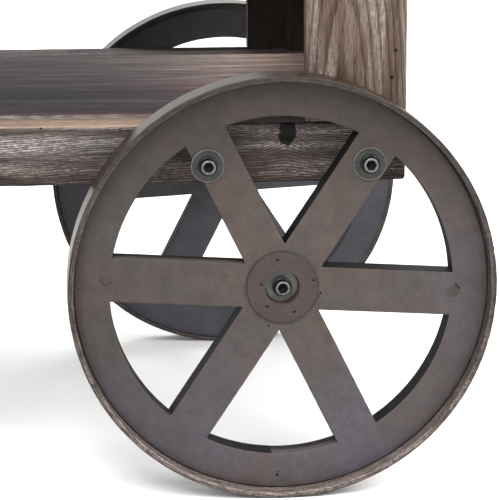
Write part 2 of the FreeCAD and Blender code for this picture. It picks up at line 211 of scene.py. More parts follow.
def lattice_faces(counts):
    """The used places of a lattice of counts points over a box's six faces, and its quads."""
    lattice = np.arange(np.prod(counts)).reshape(counts)
    quads = []
    for axis in range(3):
        for end in (0, -1):
            face = lattice.take(end, axis=axis)
            quads.append(face.ravel()[grid_quads(*face.shape)])
    codes, inverse = np.unique(np.concatenate(quads), return_inverse=True)
    return np.stack(np.unravel_index(codes, counts), axis=1), inverse.reshape(-1, 4)


def tree_rings(board, grain, ring, pith, knots, seed, sway, taper):
    """Ring numbers and knots at points of a board, given along and across its grain."""
    u, v, w = board
    wander = fractal(np.stack([u * 1.6 + seed, v * 0, w * 0], 1), 1, seed + 5) - 0.5
    drift = fractal(np.stack([u * 2.3, v * 0 + seed, w * 0], 1), 1, seed + 9) - 0.5
    across = v - pith[0] - wander * 0.03 * sway
    deep = w - pith[1] - drift * 0.03 * sway
    distance = np.hypot(across, deep) + taper * u
    distance = distance + 3.2 * MM * (fractal(grain, (5, 40, 40), seed + 11) - 0.5)
    distance = distance + 0.9 * MM * (fractal(grain, (26, 130, 130), seed + 13) - 0.5)
    knot = np.zeros(len(u))
    for knot_u, knot_v, knot_w, size in knots:
        way = np.array([knot_v - pith[0], knot_w - pith[1]])
        way = way / np.linalg.norm(way)
        ahead = across * way[0] + deep * way[1]
        near = np.hypot((u - knot_u) * 0.75, across * way[1] - deep * way[0]) / (size * MM)
        near = np.where(ahead > 0, near, 99)
        distance = distance - KNOT_PUSH * np.exp(-near ** 1.3 / 1.6)
        knot = np.maximum(knot, 1 - smooth(near, 0.55, 1.05))
    return distance / (ring * MM) + FIRST_RING, knot


def timber(node, wood, along, pith, seed, pitch=(8, 2, 2), edge=2.0, ring=4.0, knots=(),
           depth=0.25, shade=None, wear=1.0, tone=None, rub=None, sway=1.0, taper=0.0):
    """A piece of sawn, brushed timber in the box of a CAD node.

    pith is where the tree's middle lies from the board's middle across the grain. pitch is
    the mesh spacing along and across the grain, edge the corner radius, ring the ring
    spacing and depth how far the soft wood is worn down, in millimetres. knots are (along,
    across, across, radius) from the board's middle. Faces towards shade get a near-black
    painted shade. wear is how bare the edges are, and sway and taper how much the tree bends
    and narrows. tone and rub give the stain, with painted light and shade on some pieces,
    where a half is plain, and extra wear from points and the way their faces look.
    """
    low, high = (np.array(corner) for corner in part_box(node))
    middle, half = (low + high) / 2, (high - low) / 2
    order = GRAIN_ORDER[along]
    spacing = np.zeros(3)
    spacing[list(order)] = np.array(pitch) * MM
    reach = edge * 1.5 * MM
    samples = [steps(-half[axis], half[axis], spacing[axis], reach) for axis in range(3)]
    places, quads = lattice_faces([len(sample) for sample in samples])
    flat = np.stack([samples[axis][places[:, axis]] for axis in range(3)], axis=1)
    grain = flat[:, order] + np.array([seed * 1.37, seed * 0.71, seed * 0.53])

    radius = edge * MM * (0.55 + 0.9 * fractal(grain, (9, 30, 30), seed))
    core = np.clip(flat, radius[:, None] - half, half - radius[:, None])
    outward = flat - core
    outward /= np.linalg.norm(outward, axis=1, keepdims=True)
    points = middle + core + outward * radius[:, None]

    rings, knot = tree_rings(flat[:, order].T, grain, ring, pith, knots, seed, sway, taper)
    sink = 0.5 - 0.5 * np.cos(2 * math.pi * rings)
    rough = fractal(grain, (70, 420, 420), seed + 21)
    dent = smooth(fractal(grain, (14, 60, 60), seed + 31), 0.66, 0.8)
    sunk = depth * MM * (0.75 * sink + 0.9 * rough) * (1 - 0.8 * knot) + 0.5 * MM * dent
    points = points - outward * sunk[:, None]

    gaps = np.sort(half - np.abs(flat), axis=1)
    near_edge = np.exp(-gaps[:, 1] / (3.2 * MM))
    worn = wear * near_edge * smooth(fractal(grain, (12, 60, 60), seed + 41), 0.25, 0.65)
    if rub is not None:
        patchy = smooth(fractal(grain, (7, 90, 90), seed + 43), 0.2, 0.5)
        worn = np.maximum(worn, rub(points, outward) * (0.45 + 0.55 * patchy))
    plain = np.full(len(flat), 0.5)
    dark = 0 * plain if shade is None else smooth(outward @ np.array(shade, float), 0.6, 0.9)
    new_piece(node + "_timber", points, quads, [WOODS[wood]], "chassis", wood + "_timber", (node,),
              attributes={"rings": rings, "grain": grain, "knot": knot,
                          "end": smooth(np.abs(outward[:, order[0]]), 0.5, 0.8),
                          "worn": np.clip(worn, 0, 1), "shade": dark,
                          "tone": plain if tone is None else tone(points, outward)})


# --- materials ---

STUDIO = 0.36  # share of each colour that suits the bright white set


class Graph:
    """Builds one material's node graph."""

    def __init__(self, name):
        self.material = bpy.data.materials.new(name)
        self.material.use_nodes = True
        self.tree = self.material.node_tree
        self.tree.nodes.clear()

    def feed(self, socket, value):
        """Link a socket, or set its value."""
        if isinstance(value, bpy.types.NodeSocket):
            self.tree.links.new(value, socket)
        elif hasattr(value, "__len__") and socket.type == "RGBA":
            socket.default_value = (*value, 1)
        else:
            socket.default_value = value

    def node(self, kind, feeds=(), out=0, **settings):
        """Add a node, set it up, feed its sockets by index or name, and give one output."""
        made = self.tree.nodes.new("ShaderNode" + kind)
        for key, value in settings.items():
            setattr(made, key, value)
        for key, value in feeds:
            self.feed(made.inputs[key], value)
        return made.outputs[out]

    def attribute(self, name, out="Fac"):
        return self.node("Attribute", out=out, attribute_name=name)

    def place(self):
        return self.node("TexCoord", out="Object")

    def noise(self, vector, scale, detail=3.0, rough=0.55, twist=0.0):
        """Noise from 0 to 1 at a vector, with one scale or three in cells a metre."""
        factors = scale if isinstance(scale, tuple) else (scale, scale, scale)
        cells = self.node("VectorMath", enumerate((vector, factors)), operation="MULTIPLY")
        return self.node("TexNoise", [("Vector", cells), ("Scale", 1.0), ("Detail", detail),
                                      ("Roughness", rough), ("Distortion", twist)])

    def math(self, operation, one, two=0.0):
        return self.node("Math", enumerate((one, two)), operation=operation)

    def total(self, one, two):
        return self.math("ADD", one, two)

    def product(self, one, two):
        return self.math("MULTIPLY", one, two)

    def swing(self, value, amount):
        """A number between 0 and 1 turned into one about 0."""
        return self.product(self.math("SUBTRACT", value, 0.5), amount)

    def step(self, value, low, high, to_low=0.0, to_high=1.0):
        """Smooth step from to_low, at low, to to_high, at high."""
        return self.node("MapRange", enumerate((value, low, high, to_low, to_high)),
                         interpolation_type="SMOOTHSTEP")

    def mix(self, factor, one, two, blend="MIX"):
        return self.node("Mix", [(0, factor), (6, one), (7, two)], out=2, data_type="RGBA",
                         blend_type=blend)

    def times(self, colour, other):
        return self.mix(1.0, colour, other, "MULTIPLY")

    def shaded(self, colour, value):
        """A colour made darker or lighter by a number."""
        return self.times(colour, self.node("CombineColor", enumerate((value,) * 3)))

    def ramp(self, value, stops):
        """Number ramp through (place, value) stops."""
        made = self.tree.nodes.new("ShaderNodeValToRGB")
        elements = made.color_ramp.elements
        while len(elements) < len(stops):
            elements.new(0.5)
        for element, (place, level) in zip(elements, stops):
            element.position = place
            element.color = (level, level, level, 1)
        self.feed(made.inputs[0], value)
        return made.outputs[0]

    def bump(self, height, distance, strength):
        """Relief with a depth in millimetres."""
        return self.node("Bump", [("Height", height), ("Distance", distance * MM),
                                  ("Strength", strength)])

    def finish(self, colour, roughness, specular, normal=None, metal=0.0, share=STUDIO):
        feeds = [("Base Color", self.times(colour, (share, share, share))),
                 ("Roughness", roughness), ("Metallic", metal), ("Specular IOR Level", specular)]
        if normal is not None:
            feeds.append(("Normal", normal))
        output = self.tree.nodes.new("ShaderNodeOutputMaterial")
        self.tree.links.new(self.node("BsdfPrincipled", feeds), output.inputs[0])
        return self.material


KNOT_COLOURS = ((0.002, 0.002, 0.002), (0.01, 0.008, 0.008))
# Near-black painted shade for faces inside the cart that light hardly reaches.
PAINTED_SHADE_BLACK = ((0.014, 0.012, 0.01), (0.034, 0.028, 0.024))
WOODS = {}
END_TINT = (0.45, 0.4, 0.38)


def timber_material(name, valley, wood, ridge, worn, line=0.13, broken=0.6, contrast=1.0,
                    shake=1.0, dry=0.5, fine=1.0, stain=0.35, tint=(0.9, 0.85, 1.0), shine=0.15,
                    tones=((0.5, 0.5, 0.5), (1.5, 1.5, 1.5))):
    """Brushed, stained wood in WOODS: dark lines between rings, broken ridges, dry fibres.

    line is the dark line's share of a ring, broken and fine how ridges break up, shake how
    much rings waver, dry how many ridges are pale, stain and tint the patches, and tones the
    stain, with any painted light and shade, at a tone of 0 and of 1. Faces marked shade get a
    near-black painted shade.
    """
    g = Graph(name + "_wood")
    grain = g.attribute("grain", "Vector")
    slow = g.swing(g.noise(grain, (30, 420, 420)), 0.7 * shake)
    quick = g.swing(g.noise(grain, (90, 900, 900)), 0.5 * shake)
    part = g.math("FRACT", g.total(g.attribute("rings"), g.total(slow, quick)))
    crest = g.ramp(part, [(0.0, 0.0), (line, 0.25), (2.2 * line, 0.8), (0.75, 1.0),
                          (1 - 0.6 * line, 0.8), (1.0, 0.0)])
    fibre = g.noise(grain, (14, 1300, 1300), 2.0, 0.6)
    fleck = g.noise(grain, (34 * fine, 700, 700), 3.0, 0.65)
    gap = g.noise(grain, (75 * fine, 500, 500), 3.0, 0.7)
    broad = g.noise(grain, (4, 45, 45), 3.0, 0.6, 0.3)
    patch = g.noise(grain, (1.7, 7, 7), 3.0, 0.6, 0.4)
    crest = g.product(crest, g.step(fleck, 0.36, 0.58, 1 - broken, 1.0))
    streak = g.total(g.product(crest, 0.6 * contrast), g.product(g.step(fibre, 0.36, 0.64), 0.4))
    colour = g.mix(streak, valley, wood)
    dried = g.product(g.step(broad, 0.62 - 0.3 * dry, 0.78 - 0.2 * dry), crest)
    dried = g.product(dried, g.step(gap, 0.4, 0.6, 0.15, 1.0))
    colour = g.mix(dried, colour, ridge)
    colour = g.mix(g.step(patch, 0.4, 0.68, 0.0, stain), colour, g.times(colour, tint))
    colour = g.shaded(colour, g.step(broad, 0.25, 0.75, 0.72, 1.22))
    # tone: the stain, and on the rails and deck also painted light and shade.
    colour = g.times(colour, g.mix(g.attribute("tone"), tones[0], tones[1]))
    scuff = g.product(g.attribute("worn"), g.step(fleck, 0.3, 0.6, 0.45, 1.0))
    colour = g.mix(scuff, colour, g.shaded(worn, g.step(fibre, 0.3, 0.7, 0.6, 1.2)))
    ragged = g.swing(g.noise(grain, (110, 130, 130), 4.0, 0.7), 1.5)
    ragged = g.step(g.total(g.attribute("knot"), ragged), 0.5, 0.68)
    colour = g.mix(ragged, colour, g.mix(g.step(part, 0.45, 0.8), *KNOT_COLOURS))
    colour = g.mix(g.product(g.attribute("end"), 0.55), colour, g.times(colour, END_TINT))
    # Painted shade: faces marked shade turn near black and lose their sheen.
    colour = g.mix(g.attribute("shade"), colour, g.mix(streak, *PAINTED_SHADE_BLACK))
    relief = g.total(g.product(crest, 0.7), g.product(fibre, 0.5))
    glossy = g.product(g.math("SUBTRACT", 1.0, g.attribute("shade")),
                       g.step(broad, 0.35, 0.65, 0.35 * shine, 1.5 * shine))
    rough = g.step(broad, 0.3, 0.7, 0.6, 0.78)
    WOODS[name] = g.finish(colour, rough, glossy, g.bump(relief, 0.6, 0.8))


def paint_material(name, brown, olive, violet, rough=0.45):
    """Blackened-iron paint on a cut plate: clouds of three hues, scuffs and fine specks."""
    g = Graph(name)
    place = g.place()
    cloud = g.noise(place, 11, 3.0, 0.6, 0.6)
    drift = g.noise(place, (8, 8, -8), 3.0, 0.6, 0.6)
    mottle = g.noise(place, 48, 4.0, 0.65, 0.3)
    blotch = g.noise(place, 110, 3.0, 0.6)
    grit = g.noise(place, 800, 2.0, 0.6)
    colour = g.mix(g.step(cloud, 0.35, 0.65, 0.15, 0.85), brown, olive)
    cool = g.product(g.step(drift, 0.35, 0.65, 0.3, 1.0), g.attribute("cool"))
    colour = g.mix(cool, colour, violet)
    for texture, low, high in ((mottle, 0.88, 1.12), (blotch, 0.95, 1.05), (grit, 0.88, 1.12)):
        colour = g.shaded(colour, g.step(texture, 0.3, 0.7, low, high))
    # tone: the plate's painted light and shade.
    colour = g.shaded(colour, g.attribute("tone"))
    height = g.total(g.product(mottle, 0.6), g.product(grit, 0.15))
    roughness = g.step(mottle, 0.3, 0.7, rough - 0.06, rough + 0.1)
    return g.finish(colour, roughness, 0.18, g.bump(height, 0.6, 0.5))


def wall_material(name):
    """Rough sawn edge of the plate under black paint, with painted light where it faces up."""
    g = Graph(name)
    place = g.place()
    coarse = g.noise(place, (260, 60, 260), 4.0, 0.7)
    fine = g.noise(place, (1100, 420, 1100), 3.0, 0.7)
    fleck = g.product(g.step(fine, 0.6, 0.72), g.step(coarse, 0.45, 0.65))
    colour = g.mix(g.step(coarse, 0.3, 0.7), (0.004, 0.004, 0.005), (0.014, 0.013, 0.014))
    colour = g.mix(g.product(fleck, 0.7), colour, (0.09, 0.085, 0.085))
    # Painted light: up-facing walls take a lighter, speckled colour.
    painted_light = g.mix(g.step(fine, 0.3, 0.7), (0.08, 0.071, 0.064), (0.25, 0.22, 0.2))
    colour = g.mix(g.attribute("painted_light"), colour, painted_light)
    height = g.total(coarse, g.product(fine, 0.5))
    return g.finish(colour, 0.7, 0.12, g.bump(height, 0.8, 0.8))


PIT_RUST = (0.02, 0.017, 0.015)


def iron_material(name, low, high, rough=0.45, metal=0.0, shine=0.35, pits=0.6):
    """Blackened iron or steel: mottled, pitted, with rubbed lighter places."""
    g = Graph(name)
    place = g.place()
    cloud = g.noise(place, 35, 4.0, 0.65, 0.4)
    grain = g.noise(place, 320, 3.0, 0.7)
    pit = g.noise(place, 700, 2.0, 0.6)
    colour = g.mix(g.step(cloud, 0.32, 0.68), low, high)
    colour = g.shaded(colour, g.step(grain, 0.25, 0.75, 0.75, 1.3))
    colour = g.mix(g.product(g.step(pit, 0.62, 0.74), pits), colour, PIT_RUST)
    height = g.total(g.product(grain, 0.5), g.product(pit, 0.4))
    roughness = g.step(grain, 0.3, 0.7, rough - 0.08, rough + 0.1)
    return g.finish(colour, roughness, shine, g.bump(height, 0.4, 0.5), metal)


def band_material(name):
    """Worn band: smooth rubbed tread and a chipped, speckled lip."""
    g = Graph(name)
    place = g.place()
    cloud = g.noise(place, 28, 4.0, 0.65, 0.4)
    chip = g.noise(place, 230, 4.0, 0.75)
    speck = g.noise(place, 620, 3.0, 0.7)
    scratch = g.noise(g.attribute("hoop", "Vector"), (40, 40, 260), 3.0, 0.7)
    lip = g.mix(g.step(cloud, 0.35, 0.65), (0.165, 0.122, 0.106), (0.21, 0.166, 0.15))
    lip = g.mix(g.step(chip, 0.5, 0.62), lip, (0.05, 0.04, 0.038))
    lip = g.mix(g.step(speck, 0.58, 0.68), lip, (0.34, 0.31, 0.29))
    lip = g.mix(g.step(speck, 0.42, 0.34), lip, (0.02, 0.016, 0.016))
    lip = g.shaded(lip, g.step(scratch, 0.42, 0.58, 0.38, 1.62))
    # tone: darker at the top of the lip, lighter at the bottom, with a painted highlight along its
    # inner edge.
    lip = g.shaded(lip, g.attribute("tone"))
    tread = g.mix(g.step(cloud, 0.35, 0.65), (0.064, 0.04, 0.024), (0.1, 0.066, 0.042))
    tread = g.shaded(tread, g.step(scratch, 0.35, 0.65, 0.75, 1.2))
    tread = g.mix(g.step(chip, 0.58, 0.7), tread, (0.05, 0.042, 0.04))
    height = g.total(g.product(chip, 0.6), g.product(speck, 0.4))
    roughness = g.math("SUBTRACT", 0.55, g.product(g.attribute("tread"), 0.2))
    return g.finish(g.mix(g.attribute("tread"), lip, tread), roughness, 0.24,
                    g.bump(height, 0.5, 0.6))


def plastic_material(name, base):
    """Moulded plastic with a fine even grain."""
    g = Graph(name)
    grain = g.noise(g.place(), 1400, 2.0, 0.5)
    broad = g.noise(g.place(), 60, 3.0, 0.6)
    colour = g.mix(g.step(broad, 0.3, 0.7, 0.0, 0.5), base, tuple(1.5 * c for c in base))
    return g.finish(colour, 0.5, 0.4, g.bump(grain, 0.15, 0.4))


timber_material(
    "rail", (0.014, 0.011, 0.01), (0.25, 0.205, 0.185), (0.88, 0.83, 0.78),
    (0.78, 0.54, 0.4), line=0.34, broken=0.75, contrast=1.15, dry=0.8, fine=2.2,
    tones=((0.55, 0.45, 0.42), (1.4, 1.4, 1.4)))
timber_material(
    "post", (0.028, 0.018, 0.012), (0.315, 0.218, 0.155), (0.56, 0.49, 0.44),
    (0.42, 0.35, 0.29), line=0.14, broken=0.65, shake=0.5, dry=0.55, fine=1.6)
# At tone 1 the deck's stain is lit many times over: a painted light for its bright back right.
timber_material(
    "deck", (0.03, 0.026, 0.031), (0.15, 0.122, 0.138), (0.27, 0.235, 0.255),
    (0.26, 0.2, 0.165), line=0.3, broken=0.5, dry=0.4, stain=1.0, tint=(1.3, 0.9, 1.05),
    tones=((0.28, 0.35, 0.46), (10.0, 9.2, 7.0)), shine=0.08)
timber_material(
    "frame", (0.045, 0.034, 0.028), (0.14, 0.11, 0.088), (0.26, 0.22, 0.185),
    (0.28, 0.22, 0.175))
timber_material(
    "panel", (0.05, 0.038, 0.032), (0.15, 0.12, 0.1), (0.26, 0.225, 0.2),
    (0.28, 0.225, 0.19), line=0.1)
timber_material(
    "counter", (0.07, 0.048, 0.036), (0.225, 0.165, 0.125), (0.38, 0.32, 0.27),
    (0.38, 0.3, 0.24), line=0.09, broken=0.4)
timber_material(
    "roof", (0.065, 0.052, 0.044), (0.215, 0.18, 0.15), (0.38, 0.34, 0.31),
    (0.38, 0.32, 0.28), line=0.1, broken=0.45)
timber_material(
    "handle", (0.14, 0.08, 0.045), (0.34, 0.22, 0.135), (0.42, 0.3, 0.2),
    (0.4, 0.28, 0.18), contrast=0.7, line=0.1, broken=0.2, shine=0.45)
WHEEL_FACE = paint_material(
    "wheel_face", (0.125, 0.086, 0.073), (0.094, 0.083, 0.07), (0.112, 0.098, 0.118))
# The inner faces get a slate copy of the face paint: the cooler tint is a painted shade.
WHEEL_INSIDE = paint_material(
    "wheel_inside", (0.125, 0.121, 0.138), (0.132, 0.124, 0.138), (0.105, 0.106, 0.125),
    rough=0.5)
WHEEL_WALL = wall_material("wheel_wall")
BAND_IRON = band_material("band_iron")
HUB_IRON = iron_material(
    "hub_iron", (0.065, 0.047, 0.042), (0.077, 0.057, 0.052), 0.42, shine=0.22, pits=0.3)
WASHER_STEEL = iron_material(
    "washer_steel", (0.022, 0.023, 0.021), (0.05, 0.051, 0.046), 0.34, shine=0.25)
DULL_STEEL = iron_material("dull_steel", (0.06, 0.061, 0.058), (0.11, 0.11, 0.105), 0.4)
# Lighter than the washer steel: a painted light, so the hub washer reads bright in its shaded
# pocket.
HUB_STEEL = iron_material("hub_steel", (0.11, 0.112, 0.105), (0.2, 0.2, 0.19), 0.36)
SCREW_STEEL = iron_material(
    "screw_steel", (0.14, 0.14, 0.137), (0.27, 0.27, 0.265), 0.3, shine=0.6, pits=0.3)
BLACK_STEEL = iron_material("black_steel", (0.005,) * 3, (0.016,) * 3, 0.4, shine=0.16, pits=0.3)
SOCKET_STEEL = iron_material("socket_steel", (0.002,) * 3, (0.008,) * 3, 0.5, shine=0.1, pits=0)
HEX_STEEL = iron_material("hex_steel", (0.12, 0.115, 0.11), (0.24, 0.235, 0.22), 0.38, 0.6)
AXLE_STEEL = iron_material("axle_steel", (0.17, 0.165, 0.16), (0.32, 0.31, 0.3), 0.3, 0.8)
BRACKET_IRON = iron_material("bracket_iron", (0.03, 0.03, 0.03), (0.06, 0.058, 0.056))
BUSH_BRONZE = iron_material(
    "bush_bronze", (0.42, 0.27, 0.11), (0.6, 0.42, 0.2), 0.32, 0.9, pits=0.2)
GLIDE_PLASTIC = plastic_material("glide_plastic", (0.03, 0.03, 0.03))


# --- timber pieces ---

SIDES = {"front": -1, "back": 1}
ENDS = {"left": -1, "right": 1}
rail_low, rail_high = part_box("rail_front")
band_low, band_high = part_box("tyre_band_front")
wheel_x = (band_low.x + band_high.x) / 2
wheel_z = (band_low.z + band_high.z) / 2
hub = Vector((wheel_x, 0, wheel_z))
wheel_centre = (wheel_x, wheel_z)


def rail_tone(points, outward):
    """Pale upper part, stained lower third, painted shade behind the wheel, darkest on top."""
    height = (points[:, 2] - rail_low.z) / (rail_high.z - rail_low.z)
    # Painted shade: darker behind the wheel, most of all on the top, where the wheel shades the
    # rail.
    wheel_shade = smooth(points[:, 0], wheel_x - 0.2, wheel_x - 0.1)
    tone = (0.06 + 0.89 * smooth(height, 0.1, 0.62)) * (1 - 0.4 * wheel_shade)
    return tone * (1 - 0.9 * wheel_shade * smooth(outward[:, 2], 0.2, 0.6))


def rail_rub(points, outward):
    """Top and upper edges rubbed to bare wood, at the front and left of the wheel."""
    back = (points[:, 1] - rail_low.y) / (rail_high.y - rail_low.y)
    bare = smooth(outward[:, 2], 0.3, 0.7) * (1 - 0.8 * smooth(back, 0.3, 0.75))
    # No bare wood behind the wheel, which keeps the painted shade there dark.
    return bare * (1 - smooth(points[:, 0], wheel_x - 0.15, wheel_x - 0.09))


def deck_light_and_shade(points, outward):
    """Dark left, painted shade across the middle, painted light to the right, back and front."""
    # Painted light where light reaches under the counter, strongest to the back right and at the
    # front edge; painted shade in a band across the middle, under the counter.
    right = smooth(points[:, 0] + 0.25 * points[:, 1], -0.1, 0.46) ** 3.6
    lip = smooth(-points[:, 1], -rail_low.y - 0.115, -rail_low.y - 0.05)
    back = smooth(points[:, 1], -0.05, 0.3)
    middle = np.exp(-((points[:, 1] + 0.1) / 0.06) ** 2)
    tone = 0.05 - 0.05 * middle + 0.95 * right + 0.08 * back + 0.22 * lip * (1 - right)
    return np.clip(tone, 0, 1)


def back_rail_tone(points, outward):
    """As the front rail's sides, with their painted shade behind the wheel, and the deck's stain
    on top.
    """
    return rail_tone(points, outward) * (1 - 0.55 * smooth(outward[:, 2], 0.4, 0.8))


def post_tone(points, outward):
    """A slightly darker strip down the left of the right posts, a paler right side."""
    across = points[:, 0] - rail_high.x
    return 0.5 - 0.02 * smooth(-across, 0.07, 0.1) + 0.06 * smooth(across, -0.022, 0.0)


RAIL_KNOT = (wheel_x - (rail_low.x + rail_high.x) / 2 + 0.009, -0.044, 0.025, 10.5)
timber("rail_front", "rail", "X", (0.03, -0.11), 3, (7, 1.0, 0.62), 4.5, 2.3,
       [RAIL_KNOT, (-0.21, -0.044, -0.008, 9.0)], 0.5, wear=0.0, tone=rail_tone, rub=rail_rub)
timber("rail_back", "rail", "X", (-0.03, 0.12), 4, (8, 1.2, 1.2), 4.5, 3.0,
       [(0.12, 0.044, -0.01, 12.0)], 0.4, wear=0.0, tone=back_rail_tone)
for number, name in enumerate(("left", "middle", "right")):
    timber("bearer_" + name, "frame", "Y", (0.07, 0.02), 10 + number, edge=1.5)
for number in range(4):
    timber("deck_board_%d" % (number + 1), "deck", "X",
           (0.03 - 0.02 * number, -0.09 - 0.02 * number), 20 + number, (7, 1.2, 2.5), 0.9, 5.0,
           depth=0.18, wear=0.0, tone=deck_light_and_shade)
for side_name, side in SIDES.items():
    for end_name, end in ENDS.items():
        corner = side_name + "_" + end_name
        seed = 30 + 3 * side + end
        knots = [(0.18, 0.02 * end, 0.01 * side, 12.0), (-0.32, -0.03, 0.01 * side, 9.0)]
        timber("post_" + corner, "post", "Z", (-0.012 * end, 0.075 * side), seed,
               (8, 1.0, 1.6), 1.6, 5.0, knots, 0.35, (0, -side, 0), 0.5, post_tone, sway=0.5,
               taper=0.03)
        timber("batten_" + corner, "frame", "Z", (0.03, 0.06), seed + 7, (9, 1.8, 1.8), 1.5,
               4.5, shade=(-end, -side, 0))
for end_name, end in ENDS.items():
    for number, level in enumerate(("lower", "upper")):
        timber("end_board_%s_%s" % (end_name, level), "panel", "Y", (0.01, -0.1 * end),
               50 + 2 * end + number, ring=5.5, shade=(-end, 0, 0))
for number, name in enumerate(SIDES):
    timber("counter_rail_" + name, "counter", "X", (0.02, -0.1), 60 + number)
    timber("leg_" + name, "frame", "Z", (0.02, 0.08), 64 + number, (7, 1.6, 1.6), 2.5)
for number in range(4):
    timber("counter_board_%d" % (number + 1), "counter", "Y",
           (-0.1 + 0.015 * number, 0.02 - 0.01 * number), 70 + number, (8, 2.4, 2), ring=6.0,
           knots=[(0.1 - 0.12 * number, 0.0125, 0.03, 11.0)])
for number, name in enumerate(SIDES):
    timber("roof_rail_" + name, "roof", "X", (0.03, 0.08), 80 + number, (9, 2, 2))
for number, name in enumerate(ENDS):
    timber("roof_rail_" + name, "roof", "Y", (0.08, 0.03), 84 + number, (9, 2, 2))
for number in range(4):
    timber("roof_board_%d" % (number + 1), "roof", "X",
           (0.02 - 0.015 * number, -0.11), 90 + number, (9, 2.2, 2.2), ring=6.0,
           knots=[(0.3 - 0.2 * number, 0.03, 0.01, 11.0)])


# --- round shapes ---

QUARTER = (0, 22.5, 45, 67.5, 90)


def turned(rows, segments, centre, side, loop=False):
    """Points and quads of rows (radius or radii, distance out) turned about a line along Y.

    The line goes through a centre (x, z), and loop joins the last row to the first.
    """
    angles = np.arange(segments) * 2 * math.pi / segments
    grid = np.zeros((len(rows), segments, 3))
    for index, (radius, out) in enumerate(rows):
        grid[index, :, 0] = centre[0] + radius * np.cos(angles)
        grid[index, :, 1] = side * out
        grid[index, :, 2] = centre[1] + radius * np.sin(angles)
    quads = grid_quads(len(rows) + loop, segments, wrap=True) % (len(rows) * segments)
    return grid.reshape(-1, 3), quads


def rounded_profile(inner, outer, low, high, corner, pitch):
    """Closed section of a ring, (radius, out) points, with rounded corners."""
    corners = [(outer - corner, high - corner, 0), (inner + corner, high - corner, 90),
               (inner + corner, low + corner, 180), (outer - corner, low + corner, 270)]
    path, dense = [], []
    for radius, out, start in corners:
        for turn in QUARTER:
            angle = math.radians(start + turn)
            path.append((radius + corner * math.cos(angle), out + corner * math.sin(angle)))
    for one, two in zip(path, path[1:] + path[:1]):
        count = max(1, round(math.dist(one, two) / pitch))
        for step in range(count):
            dense.append([a + (b - a) * (step / count) for a, b in zip(one, two)])
    return dense


def rounded_edge(radius, out, corner, turns):
    """(radius, out) points round an edge, from the flat face out to the side."""
    return [(radius - corner * (1 - math.sin(math.radians(turn))),
             out - corner * (1 - math.cos(math.radians(turn)))) for turn in turns]


def boxed_ring(node):
    """Radius of a round front CAD node, and how far out from the middle it starts and ends."""
    low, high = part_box(node)
    return (high.x - low.x) / 2, (-high.y, -low.y)


# --- wheels ---

HALF_SPOKE = 26.25 * MM
RIM_INNER = 204 * MM
BORE = 18 * MM
POCKET = 20.5 * MM
POCKET_DEPTH = 12 * MM
EDGE_ROUND = 1.3 * MM
SPOKES = 6
SECTOR = math.radians(60)
TURNS = {"front": math.radians(-3.5), "back": math.radians(3.2)}
WHEEL_SEEDS = {"front": 100, "back": 120}
FACE, WALL, INSIDE = 0, 1, 2
BAND_ROUND = 1.6 * MM
BAND_PITCH = 1.3 * MM
BAND_SEGMENTS = 760
DISC_ROUND = 1.2 * MM
DISC_BORE_ROUND = 0.4 * MM
DISC_SEGMENTS = 420
DASHES = [(-6, 33), (-25, 4), (-18, -23), (14, -30), (37, 8)]

plate_radius, plate_out = boxed_ring("wheel_plate_front")
band_radius, band_out = boxed_ring("tyre_band_front")
disc_radius, disc_out = boxed_ring("hub_disc_front")
thickness = plate_out[1] - plate_out[0]


def window_edge(bevel, down, sweep):
    """(x, y) along a spoke's side and the rim to the middle of the window beside it."""
    half, radius = HALF_SPOKE - bevel, RIM_INNER + bevel
    start = half * math.sqrt(3)
    x = start + (math.sqrt(radius ** 2 - half ** 2) - start) * down
    first = math.asin(half / radius)
    angles = first + (SECTOR / 2 - first) * sweep[1:]
    return np.stack([np.concatenate([x, radius * np.cos(angles)]),
                     np.concatenate([np.full(len(down), half), radius * np.sin(angles)])])


def half_sector():
    """Patches (x, y, depth, part) of half a spoke and its rim, to the middle of a window.

    The spoke runs along x and the face is at depth 0.
    """
    across = np.linspace(0, 1, 12)
    down = np.linspace(0, 1, 73)
    sweep = np.linspace(0, 1, 37)
    radial = np.linspace(0, 1, 18)[:, None]
    inward = np.linspace(0, 1, 13)[:, None]
    half, radius = HALF_SPOKE - EDGE_ROUND, RIM_INNER + EDGE_ROUND
    start = half * math.sqrt(3)
    beside = np.arcsin(half * across / radius)
    beyond = beside[-1] + (SECTOR / 2 - beside[-1]) * sweep
    for depth, part, bore in ((0.0, FACE, POCKET), (thickness, INSIDE, BORE)):
        share = bore / np.hypot(start, half * across)
        scale = share + (1 - share) * inward
        yield start * scale, half * across * scale, depth, part
        end = np.sqrt(radius ** 2 - (half * across) ** 2)
        x = start + (end - start) * down[:, None]
        yield x, half * across + 0 * x, depth, part
        reach = radius + (plate_radius - radius) * radial
        for angles in (beside, beyond):
            yield reach * np.cos(angles), reach * np.sin(angles), depth, part

    rounding = rounded_edge(0, 0, -EDGE_ROUND, QUARTER)
    rows = rounding + [(0, depth) for depth in
                       np.linspace(EDGE_ROUND, thickness - EDGE_ROUND, 17)[1:-1]]
    rows += [(bevel, thickness - depth) for bevel, depth in reversed(rounding)]
    x, y = np.stack([window_edge(bevel, down, sweep) for bevel, depth in rows], axis=1)
    depths = np.array([depth for bevel, depth in rows])[:, None]
    for kept, part in ((slice(3), FACE), (slice(2, -2), WALL), (slice(-3, None), INSIDE)):
        yield x[kept], y[kept], depths[kept], part

    outer = np.concatenate([beside, beyond[1:]])
    around = np.arctan2(across, math.sqrt(3))
    for angles, radii, depths, part in (
            (outer, (plate_radius, plate_radius), (0.0, thickness), WALL),
            (around, (POCKET, POCKET), (0.0, POCKET_DEPTH), FACE),
            (around, (POCKET, BORE), (POCKET_DEPTH, POCKET_DEPTH), FACE),
            (around, (BORE, BORE), (POCKET_DEPTH, thickness), FACE)):
        radii, depths = np.array([radii, depths])[..., None]
        yield radii * np.cos(angles), radii * np.sin(angles), depths, part


